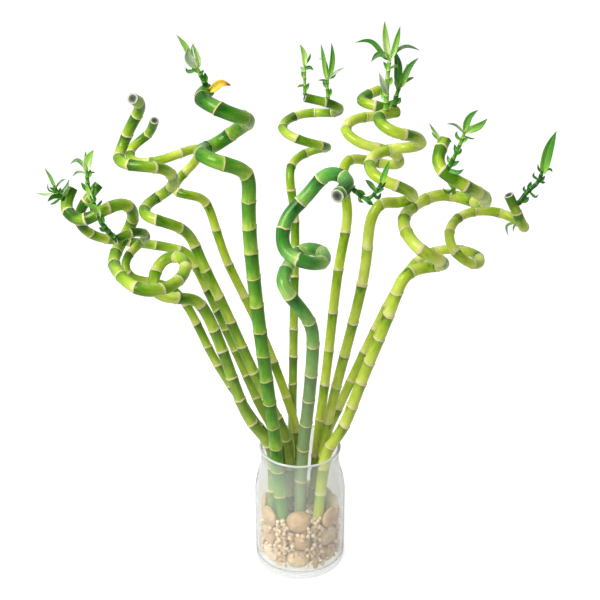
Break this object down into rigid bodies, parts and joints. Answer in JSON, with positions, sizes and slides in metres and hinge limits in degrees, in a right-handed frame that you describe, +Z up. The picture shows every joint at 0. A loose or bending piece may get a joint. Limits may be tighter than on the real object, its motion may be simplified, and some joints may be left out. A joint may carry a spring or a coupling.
{
  "type": "lucky bamboo plant in a glass vase",
  "caption": "Curled lucky bamboo canes with pale node rings and tufts of pointed leaves, standing among pebbles in a clear glass jar.",
  "frame": {"origin": "middle of the vase's flat underside", "axes": "+Z up along the vase's axis, -Y towards the front, +X to the right"},
  "size_m": [0.5124, 0.2726, 0.624],
  "materials": {
    "clear_glass": "clear moulded glass, fire-polished rim",
    "cane_skin": "smooth glossy yellow-green stem skin, darker green under each pale ring",
    "cane_skin_dark": "smooth glossy dark green stem skin",
    "cane_skin_blue": "smooth glossy blue-green stem skin",
    "shoot_stem": "fresh green stem with pale scale rings",
    "leaf_blade": "waxy leaf, folded along the middle, fine length veins",
    "withered_straw": "dry yellow sheath, brown at the tip",
    "river_pebble": "smooth tan river stone"
  },
  "bodies": {
    "root": {"cane_back_centre": "cane_skin", "cane_back_left": "cane_skin", "cane_back_right": "cane_skin", "cane_dark_front": "cane_skin_dark", "cane_far_right": "cane_skin", "cane_hooked_front": "cane_skin_blue", "cane_left_double_loop": "cane_skin", "cane_left_reaching": "cane_skin", "cane_left_tall": "cane_skin", "cane_left_thin": "cane_skin", "cane_right_tall": "cane_skin", "cane_right_wide": "cane_skin", "leaf_back_centre_left_top": "leaf_blade", "leaf_back_centre_right_side": "leaf_blade", "leaf_back_centre_right_tall": "leaf_blade", "leaf_dark_front_long": "leaf_blade", "leaf_dark_front_up": "leaf_blade", "leaf_far_right": "leaf_blade", "leaf_hooked_front": "leaf_blade", "leaf_left_thin_top": "leaf_blade", "leaf_right_tall_arched": "leaf_blade", "leaf_right_tall_dark": "leaf_blade", "leaf_right_tall_outer": "leaf_blade", "leaf_right_tall_right": "leaf_blade", "leaf_right_tall_up": "leaf_blade", "leaf_right_wide_right": "leaf_blade", "leaf_right_wide_up": "leaf_blade", "pebble_01": "river_pebble", "pebble_02": "river_pebble", "pebble_03": "river_pebble", "pebble_04": "river_pebble", "pebble_05": "river_pebble", "pebble_06": "river_pebble", "pebble_07": "river_pebble", "pebble_08": "river_pebble", "pebble_09": "river_pebble", "pebble_10": "river_pebble", "pebble_11": "river_pebble", "pebble_12": "river_pebble", "pebble_13": "river_pebble", "pebble_14": "river_pebble", "pebble_15": "river_pebble", "pebble_16": "river_pebble", "pebble_17": "river_pebble", "pebble_18": "river_pebble", "pebble_19": "river_pebble", "pebble_20": "river_pebble", "shoot_back_centre_left": "shoot_stem", "shoot_back_centre_right": "shoot_stem", "shoot_dark_front": "shoot_stem", "shoot_far_right": "shoot_stem", "shoot_hooked_front": "shoot_stem", "shoot_left_double_loop": "shoot_stem", "shoot_left_thin": "shoot_stem", "shoot_right_tall_left": "shoot_stem", "shoot_right_tall_right": "shoot_stem", "shoot_right_wide_low": "shoot_stem", "shoot_right_wide_right": "shoot_stem", "vase": "clear_glass", "withered_sheath": "withered_straw"}
  },
  "joints": []
}
